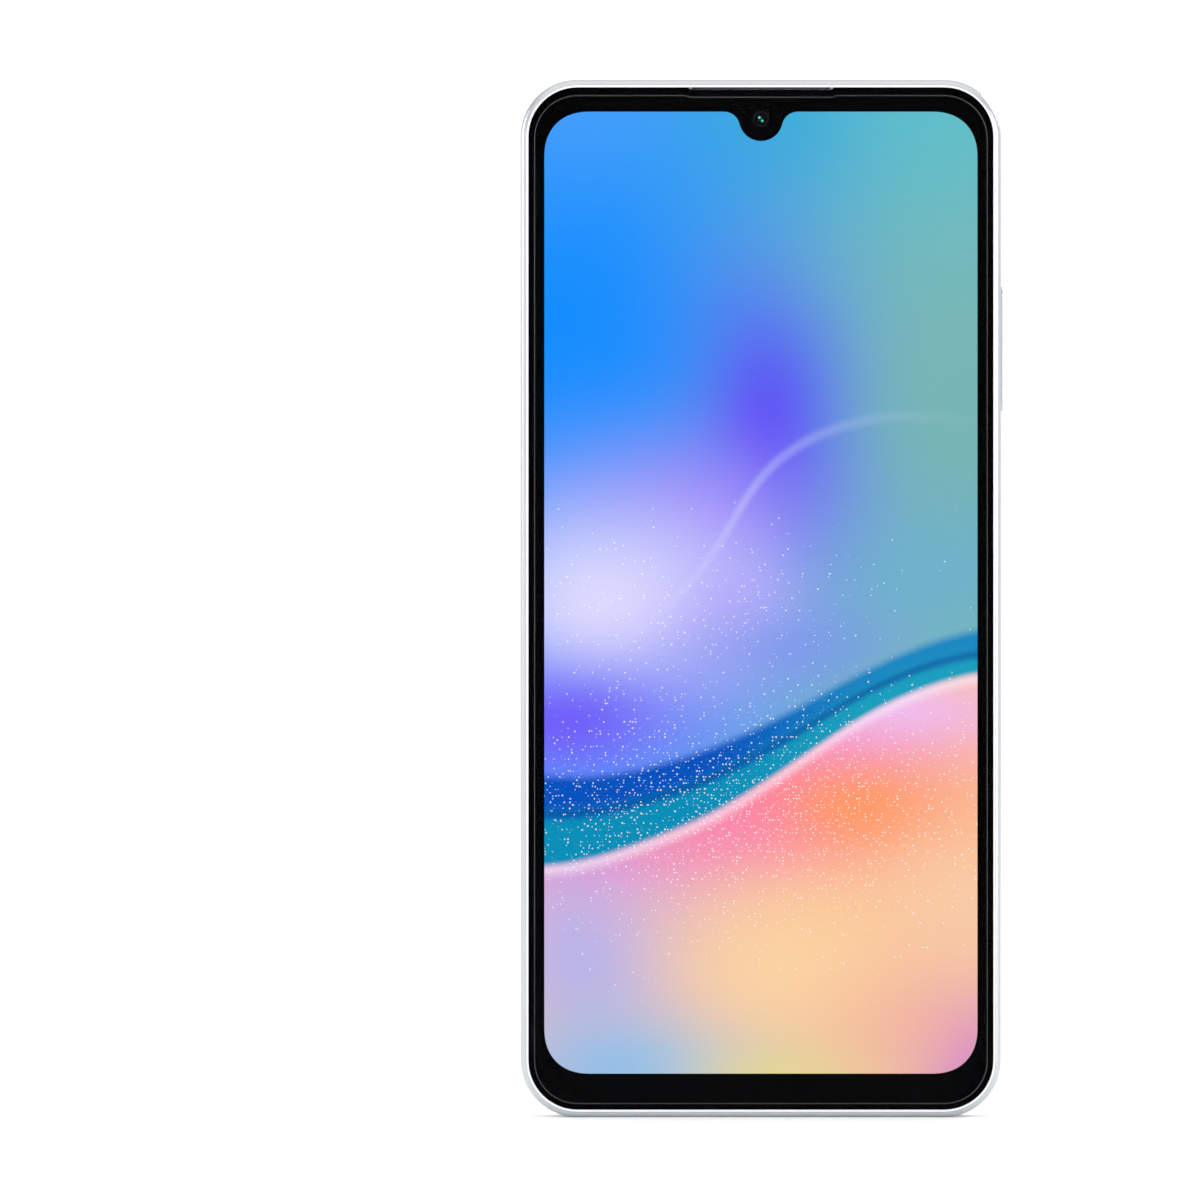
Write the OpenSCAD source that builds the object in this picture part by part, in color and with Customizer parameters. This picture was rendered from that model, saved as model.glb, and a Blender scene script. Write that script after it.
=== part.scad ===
// Touch-screen phone with three rear cameras, standing upright on its bottom edge.
// +X is the key side seen from the front, -Y the screen, +Y the back, +Z the top.

/* [Body] */
// Width across the side frame, without the keys
body_w = 77.8; // [77.6:0.1:79]
// Height from the bottom edge to the top edge
body_h = 168; // [168:0.1:169]
// Thickness from the cover glass to the back cover
body_t = 8.8; // [8.8:0.1:9.2]
// Radius of the four outer corners, seen from the front
corner_r = 9.2; // [9:0.1:10]
// Radius that rounds the side frame towards the front and the back
edge_r = 1.7; // [1.4:0.1:1.8]
// Wall thickness of the side frame
frame_wall = 1.45; // [1.4:0.05:1.5]
// Thickness of the back cover
cover_t = 0.85; // [0.7:0.05:0.85]
// Radius that rounds the back cover's edge
cover_round = 0.3; // [0.2:0.05:0.5]

/* [Screen] */
// Thickness of the cover glass
glass_t = 0.6; // [0.5:0.05:0.6]
// Distance from the side of the body to the cover glass
glass_inset = 1.3; // [1.3:0.05:1.5]
// Radius that rounds the cover glass's front edge
glass_round = 0.2; // [0.1:0.05:0.3]
// Thickness of the display cell with its polarisers
panel_t = 1.1; // [1:0.05:1.1]
// Thickness of the backlight
backlight_t = 0.8; // [0.7:0.05:0.8]
// Width of the display cell
panel_w = 71.2; // [70:0.1:71.4]
// Height of the display cell
panel_h = 159; // [158:0.1:159]
// Height of the front camera's centre below the top edge
selfie_drop = 6.4; // [6.3:0.1:6.6]

/* [Rear cameras] */
// Distance from the middle of the body to the row of cameras
camera_x = 25.7; // [25.6:0.1:25.9]
// Height of the top camera
camera_top_z = 154.85; // [154.5:0.05:155]
// Distance from one camera to the next
camera_pitch = 15.7; // [15.6:0.1:15.8]
// Outer radius of a camera ring
ring_r = 6.55; // [6.4:0.05:6.6]
// How far a camera ring stands out of the back cover
ring_proud = 1.1; // [0.9:0.1:1.3]
// How far the focus lens moves towards the back
focus_travel = 0.3; // [0.1:0.05:0.3]

/* [Keys] */
// Depth of the middle of the keys, from the middle of the body
key_y = 0.5; // [0.3:0.1:0.6]
// Height of the volume key's middle
volume_z = 124.5; // [124:0.5:125]
// Length of the volume key
volume_len = 20.2; // [19:0.1:20.4]
// Height of the power key's middle
power_z = 96.7; // [96:0.1:97]
// Length of the power key
power_len = 13.6; // [13:0.1:14]
// Gap between a key and the side frame
key_gap = 0.15; // [0.1:0.01:0.2]

/* [Bottom edge] */
// Distance of the headphone jack from the middle
jack_x = -22; // [-22.5:0.1:-21.5]
// Radius of the headphone jack's bore
jack_r = 1.8; // [1.77:0.01:1.85]
// Length of the headphone jack's bore
jack_len = 14; // [13.6:0.1:14]
// Width of the charging port's opening
usb_w = 8.34; // [8.3:0.01:8.4]
// Thickness of the charging port's opening
usb_t = 2.56; // [2.5:0.01:2.6]
// Number of loudspeaker slots
speaker_slots = 6; // [4:1:6]

/* [Card tray] */
// Height of the middle of the card slot
tray_z = 141; // [140.8:0.1:141.2]
// Length of the tray behind its door
tray_len = 27; // [26.8:0.1:27]
// Width of the tray
tray_w = 13.2; // [13:0.1:13.2]
// Radius of the eject pin's hole
eject_r = 0.45; // [0.4:0.01:0.5]

/* [Battery] */
// Width of the battery
battery_w = 66.4; // [62:0.1:66.4]
// Height of the battery
battery_h = 80; // [76:0.5:80]

/* [Hidden] */
$fn = 64;
clear = 0.05;
front = -body_t / 2;
back = body_t / 2;
side = body_w / 2;
mid_z = body_h / 2;
camera_zs = [for (i = [0:2]) camera_top_z - i * camera_pitch];
flash_at = [14.7, 147];
selfie_z = body_h - selfie_drop;

// Depths of the layers, each [nearest the screen, nearest the back]
glass_y = [front, front + glass_t];
tape_y = [glass_y[1], glass_y[1] + 0.15];
panel_y = [glass_y[1], glass_y[1] + panel_t];
backlight_y = [panel_y[1], panel_y[1] + backlight_t];
plate_y = [backlight_y[1] + 0.1, backlight_y[1] + 0.6];
inner = plate_y[1];
board_y = [inner + 0.4, inner + 1.2];
flex_y = [board_y[1] + 0.72, board_y[1] + 0.84];
cover_y = [back - cover_t, back];
ledge_y = [back - 1.55, back - 1];
bracket_y = [back - 1.6, back - 1.15];
ring_y = [cover_y[0] - 0.25, back + ring_proud];

// Distances from the outer edge to the pieces of the frame
rim_inset = 0.9;
lip_inset = [0.95, glass_inset - 0.03];
cover_inset = 1.5;
ledge_inset = 3.1;
module_inset = 3.4;

// Card tray and its eject lever
tray_y = [board_y[1] + 0.35, board_y[1] + 1.15];
tray_mid_y = (tray_y[0] + tray_y[1]) / 2;
rod_y = [tray_mid_y - 0.3, tray_mid_y + 0.3];
door_z = [tray_z - 7.6, tray_z + 10];
rod_z = tray_z + 8.6;
pivot_z = tray_z + 4;
lever_x = -8.2;
lever_w = 1;
rod_tip_r = 0.6;

// Middles of the small machines inside
speaker_at = [22.9, 13.9];
motor_at = [-30.6, 16.2];
motor_r = 4.4;
port_y = 0.5;
usb_y = 0.3;
usb_shell_t = 0.3;
upper_screws = [
    [-32.5, 117.5], [-32.5, 157], [-22, 160.5], [9, 157.5], [12.5, 117.5], [32.6, 147], [32.4, 161]
];
lower_screws = [[-33, 6.5], [-14.5, 9], [7.3, 19.5]];
screws_at = concat(upper_screws, lower_screws);

// Limits measured from a base value
function from(base, limits) = [for (v = limits) base + v];

// Limits at the same distance on both sides of a middle
function about(middle, half) = [middle - half, middle + half];

// Box between two limits on each axis
module block(x, y, z)
    translate([x[0], y[0], z[0]]) cube([x[1] - x[0], y[1] - y[0], z[1] - z[0]]);

// Box with its middle at (x, z), w wide and h high
module block_at(at, size, y)
    block(about(at[0], size[0] / 2), y, about(at[1], size[1] / 2));

// Plate between two depths, from an outline drawn as seen from the front
module slab(y)
    translate([0, y[1], 0]) rotate([90, 0, 0]) linear_extrude(y[1] - y[0]) children();

// Round piece with its axis along Y
module disc(at, r, y)
    translate([at[0], y[0], at[1]]) rotate([-90, 0, 0]) cylinder(h = y[1] - y[0], r = r);

// Round piece with its axis along X
module rod(x, y, z, r)
    translate([x[0], y, z]) rotate([0, 90, 0]) cylinder(h = x[1] - x[0], r = r);

// Rectangle with round corners
module rounded(w, h, r) {
    square([w - 2 * r, h], center = true);
    square([w, h - 2 * r], center = true);
    for (sx = [-1, 1], sy = [-1, 1])
        translate([sx * (w / 2 - r), sy * (h / 2 - r)]) circle(r);
}

// Bar with round ends
module pill(w, h) {
    r = min(w, h) / 2;
    square([w - (w > h ? 2 * r : 0), h - (h > w ? 2 * r : 0)], center = true);
    for (s = [-1, 1])
        translate([w > h ? s * (w / 2 - r) : 0, h > w ? s * (h / 2 - r) : 0]) circle(r);
}

// Outline of the body, drawn in by a distance
module outline(inset)
    translate([0, mid_z]) rounded(body_w - 2 * inset, body_h - 2 * inset, corner_r - inset);

// Pill pushed along X: w is its thickness along Y and h its height
module pill_x(x, y, z, w, h)
    translate([x[0], y, z]) rotate([90, 0, 90]) linear_extrude(x[1] - x[0]) pill(w, h);

// Pill pushed along Z: w is its width along X and t its thickness along Y
module pill_z(z, x, y, w, t)
    translate([x, y, z[0]]) linear_extrude(z[1] - z[0]) pill(w, t);

// Square-cornered bar of a section, with its edge at one depth rounded on both sides or on one
module rounded_bar(x, y, round, sides) {
    top = y[1] - round;
    translate([x[0], y[0]]) square([x[1] - x[0], top - y[0]]);
    translate([sides == 2 ? x[0] + round : x[0], y[0]])
        square([x[1] - x[0] - sides * round, y[1] - y[0]]);
    for (cx = sides == 2 ? [x[0] + round, x[1] - round] : [x[1] - round])
        translate([cx, top]) circle(round);
}

// Carries a section round the body. In it, x is the distance from a corner's centre and y the depth
module swept() {
    half = [side - corner_r, mid_z - corner_r];
    translate([0, 0, mid_z]) rotate([90, 0, 0])
        for (turn = [0, 1]) rotate([0, 0, 180 * turn]) {
            translate([half[0], half[1], 0]) rotate([90, 0, 0])
                linear_extrude(2 * half[1]) mirror([0, 1]) children();
            translate([-half[0], half[1], 0]) rotate([90, 0, 90])
                linear_extrude(2 * half[0]) mirror([0, 1]) children();
            translate([half[0], half[1], 0])
                rotate_extrude(angle = 90) mirror([0, 1]) children();
            translate([-half[0], half[1], 0]) rotate([0, 0, 90])
                rotate_extrude(angle = 90) mirror([0, 1]) children();
        }
}

// Section of the side frame: thin beside the screen, thicker behind it
module frame_section() {
    flat = body_t / 2 - edge_r;
    intersection() {
        union() {
            translate([corner_r - 5, -flat]) square([5, 2 * flat]);
            translate([corner_r - 5, front]) square([5 - edge_r, body_t]);
            for (s = [-1, 1]) translate([corner_r - edge_r, s * flat]) circle(edge_r);
        }
        union() {
            translate([corner_r - rim_inset, front]) square([rim_inset, body_t]);
            translate([corner_r - frame_wall, inner]) square([frame_wall, back - inner]);
        }
    }
}

// Section of the front frame's bright lip, beside the cover glass
module lip_section() {
    mirror([0, 1])
        rounded_bar(from(corner_r, [-lip_inset[1], -lip_inset[0]]), [-tape_y[1], -front - 0.04], 0.08, 2);
    translate([corner_r - lip_inset[1], front + 0.45])
        square([lip_inset[1] - rim_inset, tape_y[1] - front - 0.45]);
}

module side_frame() color("silver") difference() {
    union() {
        swept() frame_section();
        slab(ledge_y) difference() {
            outline(frame_wall - clear);
            outline(ledge_inset);
        }
    }
    pill_x([side - 3, side + 1], key_y, volume_z, 2.2 + 2 * key_gap, volume_len + 2 * key_gap);
    pill_x([side - 3, side + 1], key_y, power_z, 2.4 + 2 * key_gap, power_len + 2 * key_gap);
    pill_x([side - 0.3, side + 1], key_y, power_z, 3.8, power_len + 3.6);
    pill_x([-side - 1, -side + 2], tray_mid_y, (door_z[0] + door_z[1]) / 2,
        2.6, door_z[1] - door_z[0] + 0.2);
    pill_z([-1, 2], 0, usb_y, usb_w + 0.8, usb_t + 0.8);
    translate([jack_x, port_y, -1]) cylinder(h = 3, r = jack_r + 0.55);
    translate([-10.5, port_y, -1]) cylinder(h = 3, r = 0.5);
    translate([9.7, port_y, body_h - 2]) cylinder(h = 3, r = 0.4);
    for (i = [0:speaker_slots - 1])
        pill_z([-1, 2], 14.4 + i * 2.44, port_y, 1.7, 1);
}

module front_frame() color("whitesmoke") difference() {
    union() {
        swept() lip_section();
        slab([tape_y[1], plate_y[0]]) difference() {
            outline(rim_inset);
            translate([0, mid_z]) rounded(panel_w + 0.6, panel_h + 0.6, 6.9);
        }
        slab(plate_y) outline(rim_inset);
    }
    disc([0, selfie_z], 2.8, [tape_y[0], plate_y[1] + 1]);
    block([jack_x - 3.3, jack_x + 3.3], plate_y + [-clear, 1], [0, 16]);
    block([-7.3, 7.3], plate_y + [-1, 1], [9.8, 10.8]);
    block([-15, 11.4], [tape_y[1] - 0.1, tape_y[1] + 0.5], [body_h - 2.6, body_h - 1.35]);
    block([-15, -8], [tape_y[1], plate_y[1] + 1], [body_h - 2.6, body_h - 1.6]);
}

module cover_glass() color("black") difference() {
    union() {
        swept() mirror([0, 1]) rounded_bar(from(corner_r, [-glass_inset - 1, -glass_inset]),
            [-glass_y[1], -front], glass_round, 1);
        slab(glass_y) outline(glass_inset + 0.9);
    }
    slab([front - 1, glass_y[1] + 1]) translate([0, body_h - glass_inset])
        polygon([[-11.7, 1], [-11.7, 0], [-11.4, -0.3], [11.4, -0.3], [11.7, 0], [11.7, 1]]);
}

module earpiece_mesh() color("dimgray")
    block([-11.2, 11.2], [front + 0.1, glass_y[1]], from(body_h - glass_inset, [-0.25, 0.02]));

module glass_tape() color("black") difference() {
    slab(tape_y) difference() {
        outline(glass_inset + 0.5);
        translate([0, mid_z]) rounded(panel_w + 1.2, panel_h + 1.2, 7.2);
    }
    block([-15.5, 12], tape_y + [-1, 1], [body_h - 3, body_h]);
}

module display_panel() color("royalblue") slab(panel_y) difference() {
    translate([0, mid_z]) rounded(panel_w, panel_h, 6.6);
    translate([0, selfie_z]) circle(3.1);
    translate([-3.1, selfie_z]) square([6.2, 5]);
}

module backlight() color("white") slab(backlight_y) difference() {
    translate([0, mid_z]) rounded(panel_w - 0.4, panel_h - 0.4, 6.4);
    translate([0, selfie_z]) circle(3.1);
    translate([-3.1, selfie_z]) square([6.2, 5]);
}

module display_flex() color("orange") {
    run_y = from(backlight_y[1], [0.02, 0.08]);
    tail_y = from(inner, [0.05, 0.11]);
    block([-7, 7], run_y, [5.2, 10.4]);
    block([-7, 7], [run_y[0], tail_y[1]], [10.2, 10.4]);
    block([-7, 7], tail_y, [10.2, 16]);
    block([-4, 4], [tail_y[1], board_y[0]], [13, 15.5]);
}

module earpiece() color("dimgray") difference() {
    block([-17.5, -5.5], [inner + 0.05, inner + 2.7], [155.8, 164.4]);
    block([-14.5, -8.5], [inner, inner + 1.2], [158, 162.5]);
}

module front_camera() color("black") difference() {
    union() {
        block([-3.7, 3.7], [inner + 0.05, inner + 2.5], from(selfie_z, [-3.7, 3.2]));
        disc([0, selfie_z], 2.5, [tape_y[1] - 0.05, inner + 0.1]);
    }
    disc([0, selfie_z], 1.2, [tape_y[1] - 1, tape_y[1] + 0.4]);
}

module back_cover() color("gainsboro") difference() {
    union() {
        swept() rounded_bar(from(corner_r, [-cover_inset - 1, -cover_inset]), cover_y, cover_round, 1);
        slab(cover_y) outline(cover_inset + 0.9);
    }
    for (z = camera_zs) disc([camera_x, z], ring_r - 0.5, cover_y + [-1, 1]);
    disc(flash_at, 2.2, cover_y + [-1, 1]);
}

module cover_tape() color("black") slab([ledge_y[1], cover_y[0]]) difference() {
    outline(cover_inset + 0.1);
    outline(ledge_inset - 0.1);
}

// Decorative ring of one camera, with a seat for its cover glass
module camera_ring(z) color("gray") translate([camera_x, 0, z]) rotate([-90, 0, 0])
    rotate_extrude() polygon([
        [4.6, ring_y[0]], [ring_r - 0.6, ring_y[0]], [ring_r - 0.6, back], [ring_r, back],
        [ring_r, ring_y[1] - 0.3], [ring_r - 0.3, ring_y[1]], [ring_r - 0.8, ring_y[1]],
        [5.47, ring_y[1] - 0.2], [5.47, back + 0.35], [4.6, back + 0.35]
    ]);

module camera_ring_top() camera_ring(camera_zs[0]);
module camera_ring_middle() camera_ring(camera_zs[1]);
module camera_ring_bottom() camera_ring(camera_zs[2]);

// Cover glass of one camera
module camera_glass(z) color("black") disc([camera_x, z], 5.42, [back + 0.35, ring_y[1] - 0.15]);

module camera_glass_top() camera_glass(camera_zs[0]);
module camera_glass_middle() camera_glass(camera_zs[1]);
module camera_glass_bottom() camera_glass(camera_zs[2]);

// Camera with a fixed barrel
module fixed_camera(z, size, barrel_r) color("black") difference() {
    union() {
        block_at([camera_x, z], [size, size], [inner + 0.05, back - 1.35]);
        disc([camera_x, z], barrel_r, [back - 1.4, back - 0.5]);
    }
    disc([camera_x, z], 1.1, [back - 0.8, back]);
}

module wide_camera() fixed_camera(camera_zs[0], 7, 2.4);
module macro_camera() fixed_camera(camera_zs[2], 6, 2);

module main_camera() color("black") difference() {
    block_at([camera_x, camera_zs[1]], [8.8, 8.8], [inner + 0.05, back - 1.35]);
    disc([camera_x, camera_zs[1]], 3.45, [inner + 0.9, back]);
}

module focus_lens() color("dimgray") difference() {
    disc([camera_x, camera_zs[1]], 3.25, [inner + 1.1, back - 0.2 - focus_travel]);
    disc([camera_x, camera_zs[1]], 1.4, [back - 0.9, back]);
}

module flash_lens() color("lightyellow") {
    disc(flash_at, 2.15, [cover_y[0] + 0.05, back]);
    disc(flash_at, 1.6, [back - 1.9, cover_y[0] + 0.1]);
}

module flash_led() color("gold") {
    block_at(flash_at, [3.6, 3.6], [board_y[1], back - 2.9]);
    block_at(flash_at, [2.4, 2.4], [back - 2.95, back - 2]);
}

module camera_flexes() color("orange") {
    bottom_z = camera_zs[2];
    block([19, camera_x - 3], flex_y, from(bottom_z, [0, 2.6]));
    block([19, 20.6], flex_y, [bottom_z, 136]);
    block([12.6, 20.6], flex_y, [133.2, 136]);
    block([12.6, camera_x - 4.4], flex_y, [140.2, 143]);
    block([12.6, camera_x - 3.5], flex_y, [151.6, 154.2]);
}

module main_board() color("darkgreen") difference() {
    slab(board_y) intersection() {
        translate([-36, 113.5]) square([54, 50]);
        outline(module_inset);
    }
    block([-18.5, 4.6], board_y + [-1, 1], [155.2, 170]);
    for (at = upper_screws) disc(at, 1.7, board_y + [-1, 1]);
}

// Middle, width and height of each shield can on the main board
cans = [[[4, 143.5], [15, 22]], [[-17.5, 125.5], [26, 12]], [[7, 125], [13, 10.4]]];

module board_shields() color("silver") for (can = cans) difference() {
    block_at(can[0], can[1], from(board_y[1], [0, 1.7]));
    block_at(can[0], can[1] - [0.4, 0.4], from(board_y[1], [-1, 1.5]));
}

module board_chips() color("black") for (can = cans)
    block_at(can[0], can[1] - [3, 3], from(board_y[1], [0, 1]));

module board_connectors() color("beige") {
    height = [board_y[1], flex_y[0]];
    block([-4, 4], height, [114.2, 116.4]);
    block([-13.5, -6.5], height, [114.2, 116.4]);
    for (z = [134.6, 141.6, 152.9]) block([12.8, 17.4], height, about(z, 1.1));
    block([-13.5, -6.5], height, [20.4, 22.6]);
}

module sim_socket() color("silver") {
    shell_x = [-side + 3.9, -12];
    difference() {
        block(shell_x, from(board_y[1], [0, 1.6]), from(tray_z, [-7.4, 10]));
        block(shell_x + [-1, 1], tray_y + [-0.15, 0.15], about(tray_z, tray_w / 2 + 0.3));
        block(shell_x + [-1, 1], rod_y + [-0.15, 0.15], about(rod_z, rod_tip_r + 0.15));
    }
    disc([lever_x, pivot_z], 0.4, [board_y[1], rod_y[1] + 0.1]);
    disc([lever_x, pivot_z], 0.8, from(rod_y[1], [0.1, 0.4]));
}

module sim_tray() color("silver") difference() {
    union() {
        pill_x([-side, -side + 1.3], tray_mid_y, (door_z[0] + door_z[1]) / 2,
            2.4, door_z[1] - door_z[0]);
        block([-side + 1.2, -side + 1.3 + tray_len], tray_y, about(tray_z, tray_w / 2));
    }
    block(from(-side, [2.4, 11.3]), tray_y + [0.2, 1], about(tray_z, 6.2));
    block(from(-side, [3.4, 10.3]), tray_y + [-1, 1], about(tray_z, 5));
    block(from(-side, [12.3, 27.4]), tray_y + [0.2, 1], about(tray_z, 5.55));
    block(from(-side, [13.4, 26.4]), tray_y + [-1, 1], about(tray_z, 4.4));
    rod([-side - 1, -side + 2], tray_mid_y, rod_z, eject_r);
}

module eject_rod() color("darkgray") {
    tip_x = lever_x - lever_w / 2 - 0.15 - rod_tip_r;
    block([-side + 2, tip_x], rod_y, about(rod_z, rod_tip_r));
    block([-side + 2, -side + 2.4], rod_y + [-0.3, 0.3], about(rod_z, 0.9));
    disc([tip_x, rod_z], rod_tip_r, rod_y);
}

module eject_lever() color("darkgray") difference() {
    union() {
        block(about(lever_x, lever_w / 2), rod_y, [tray_z - 0.5, rod_z + 0.8]);
        disc([lever_x, pivot_z], 0.9, rod_y);
    }
    disc([lever_x, pivot_z], 0.45, rod_y + [-1, 1]);
}

// Plastic plate over a board, from an outline in the plane of the screen
module bracket(screws) color("dimgray") difference() {
    slab(bracket_y) intersection() {
        children();
        outline(module_inset);
    }
    for (at = screws) {
        disc(at, 0.7, bracket_y + [-1, 1]);
        disc(at, 1.4, [bracket_y[0] + 0.2, back]);
    }
}

module upper_bracket() bracket(upper_screws) difference() {
    translate([-side, 113]) square([body_w, 52]);
    translate([20.9, 118.6]) square([9.6, 41.2]);
    translate(flash_at) circle(2.5);
}

module lower_bracket() bracket(lower_screws)
    translate([-side, 0]) square([side + 9.6, 24]);

module battery() color("darkslategray")
    slab([inner + 0.2, back - 1.2]) translate([0, 28 + battery_h / 2])
        rounded(battery_w, battery_h, 2);

module battery_tape() color("white") block([-30, 30], from(inner, [0, 0.2]), [32, 100]);

module battery_board() color("darkgreen") {
    block([-12, 12], from(board_y[1], [0.3, 1.3]), [108.4, 111.6]);
    block([-4, 4], flex_y, [111.6, 116.6]);
}

module main_flex() color("orange") {
    over = [cover_y[0] - 0.3, cover_y[0] - 0.15];
    block([-14, -6], over, [25, 112.1]);
    for (z = [25, 111.95]) block([-14, -6], [flex_y[0], over[1]], from(z, [0, 0.15]));
    block([-14, -6], flex_y, [19.6, 25.15]);
    block([-14, -6], flex_y, [111.95, 116.8]);
}

module antenna_cable() color("black") {
    x = -35.2;
    y = board_y[1] + 0.9;
    translate([x, y, 24.3]) cylinder(h = 88, r = 0.35);
    for (z = [24.3, 112.3]) {
        translate([x, y, z]) sphere(0.35);
        rod([x, -28], y, z, 0.35);
    }
    translate([-28, y, 24.3]) sphere(0.35);
    translate([-28, y, 112.3]) sphere(0.35);
    translate([-28, y, 112.3]) cylinder(h = 4, r = 0.35);
    disc([-28, 116.3], 1, from(board_y[1], [0, 1.2]));
    rod([-28, -22], y, 24.3, 0.35);
    translate([-22, y, 24.3]) sphere(0.35);
    translate([-22, y, 22]) cylinder(h = 2.3, r = 0.35);
    disc([-22, 21.6], 1, from(board_y[1], [0, 1.2]));
}

module sub_board() color("darkgreen") difference() {
    slab(board_y) union() {
        translate([-17.5, 2.2]) square([27, 20.8]);
        translate([-25.5, 16.4]) square([9, 6.6]);
    }
    block([-4.8, 4.8], board_y + [-1, 1], [0, 8]);
    for (at = lower_screws) disc(at, 1.7, board_y + [-1, 1]);
}

module usb_shell() color("silver") difference() {
    pill_z([0.2, 7.7], 0, usb_y, usb_w + 2 * usb_shell_t, usb_t + 2 * usb_shell_t);
    pill_z([0, 7.3], 0, usb_y, usb_w, usb_t);
}

module usb_tongue() color("black")
    block([-3.35, 3.35], about(usb_y, 0.35), [1, 7.3]);

module headphone_jack() color("black") difference() {
    union() {
        translate([jack_x, port_y, 0.35]) cylinder(h = 1.5, r = jack_r + 0.45);
        block(about(jack_x, 3.1), about(port_y, 2.25), [1.6, 15.6]);
    }
    translate([jack_x, port_y, 0]) cylinder(h = jack_len + 0.35, r = jack_r);
}

module bottom_microphone() color("silver") difference() {
    block([-12.2, -8.8], from(board_y[1], [0, 1.2]), [1.6, 5]);
    translate([-10.5, port_y, 0]) cylinder(h = 2.6, r = 0.4);
}

module top_microphone() color("silver") difference() {
    block([8, 11.4], from(board_y[1], [0, 1.2]), [161, body_h - 1.6]);
    translate([9.7, port_y, body_h - 3]) cylinder(h = 3, r = 0.35);
}

module speaker_box() color("dimgray") difference() {
    union() {
        slab([inner + 0.5, back - 1.2]) intersection() {
            translate([10.4, 3.5]) square([25.2, 20.7]);
            outline(module_inset);
        }
        block([13, 28], about(port_y, 0.8), [1.8, 4]);
    }
    slab([inner, back - 1.8]) intersection() {
        translate([11.1, 4.2]) square([23.8, 19.3]);
        outline(module_inset + 0.7);
    }
    block([13.4, 27.6], about(port_y, 0.4), [1, 5]);
}

module speaker_cover() color("gray") slab([inner + 0.05, inner + 0.5]) intersection() {
    translate([10.4, 3.5]) square([25.2, 20.7]);
    outline(module_inset);
}

module speaker_magnet() color("darkgray") {
    pole_y = [back - 3.6, back - 2.1];
    block_at(speaker_at, [12, 9], [back - 2.2, back - 1.8]);
    block_at(speaker_at, [6.8, 4.4], pole_y);
    difference() {
        block_at(speaker_at, [12, 9], pole_y);
        block_at(speaker_at, [9.6, 7.2], pole_y + [-1, 1]);
    }
}

module speaker_diaphragm() color("goldenrod") {
    block_at(speaker_at, [16, 12], [0, 0.12]);
    difference() {
        block_at(speaker_at, [8.8, 6.4], [0.1, 1.6]);
        block_at(speaker_at, [7.5, 5.1], [0.05, 2]);
    }
}

module speaker_mesh() color("black")
    block([13, 28], about(port_y, 0.8), from(frame_wall, [0.05, 0.25]));

module motor_housing() color("silver") difference() {
    disc(motor_at, motor_r, from(inner, [0.05, 3.25]));
    difference() {
        disc(motor_at, motor_r - 0.35, from(inner, [0.35, 2.95]));
        disc(motor_at, 0.4, from(inner, [0, 3]));
    }
}

module vibration_rotor() color("goldenrod") difference() {
    union() {
        intersection() {
            disc(motor_at, motor_r - 0.65, from(inner, [0.65, 2.65]));
            block(about(motor_at[0], 5), from(inner, [0, 3]), from(motor_at[1], [-5, 0]));
        }
        disc(motor_at, 1.1, from(inner, [0.65, 2.65]));
    }
    disc(motor_at, 0.45, from(inner, [0, 3]));
}

// Outer half of a key cap's section: w is half its width and h its height
module key_section(w, h, round)
    rounded_bar([0, w], [0, h], round, 1);

// Key cap pushed along X, with round ends and a rounded outer edge
module key_cap(x, z, w, length, round) {
    h = x[1] - x[0];
    half = (length - w) / 2;
    translate([x[0], key_y, z]) rotate([0, 90, 0]) {
        for (s = [-1, 1]) translate([s * half, 0, 0]) rotate_extrude() key_section(w / 2, h, round);
        translate([-half, 0, 0]) rotate([90, 0, 90]) linear_extrude(2 * half)
            for (flip = [0, 1]) mirror([flip, 0]) key_section(w / 2, h, round);
    }
}

module volume_key() color("silver") {
    key_cap([side - 1.9, side + 0.5], volume_z, 2.2, volume_len, 0.3);
    pill_x([side - 2.5, side - 1.8], key_y, volume_z, 3.2, volume_len + 2.2);
    disc([side - 2.15, volume_z], 0.5, about(key_y, 1.6));
    for (s = [-1, 1]) rod([side - 3, side - 2.4], key_y, volume_z + 6.5 * s, 0.6);
}

module power_key() color("silver") {
    key_cap([side - 1.9, side - 0.2], power_z, 2.4, power_len, 0.15);
    pill_x([side - 2.35, side - 1.55], key_y, power_z, 3.4, power_len + 2);
    rod([side - 2.95, side - 2.3], key_y, power_z, 0.7);
}

module fingerprint_sensor() color("gray")
    pill_x([side - 0.2, side - 0.05], key_y, power_z, 2, power_len - 0.6);

module key_flex() color("orange") {
    sheet_x = [side - 4.05, side - 3.9];
    block(sheet_x, about(key_y, 1.4), [88, 138]);
    for (z = [power_z, volume_z - 6.5, volume_z + 6.5]) rod([side - 3.95, side - 3.4], key_y, z, 1.3);
    block([15.5, sheet_x[1]], from(board_y[1], [0.05, 0.2]), [114, 116.6]);
}

module screw_nuts() color("goldenrod") for (at = screws_at) difference() {
    disc(at, 1.5, [inner, bracket_y[0]]);
    disc(at, 0.6, [inner + 1, back]);
}

module screws() color("silver") for (at = screws_at) {
    disc(at, 1.25, from(bracket_y[0], [0.2, 0.6]));
    disc(at, 0.55, [inner + 1.5, bracket_y[0] + 0.25]);
}

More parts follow.
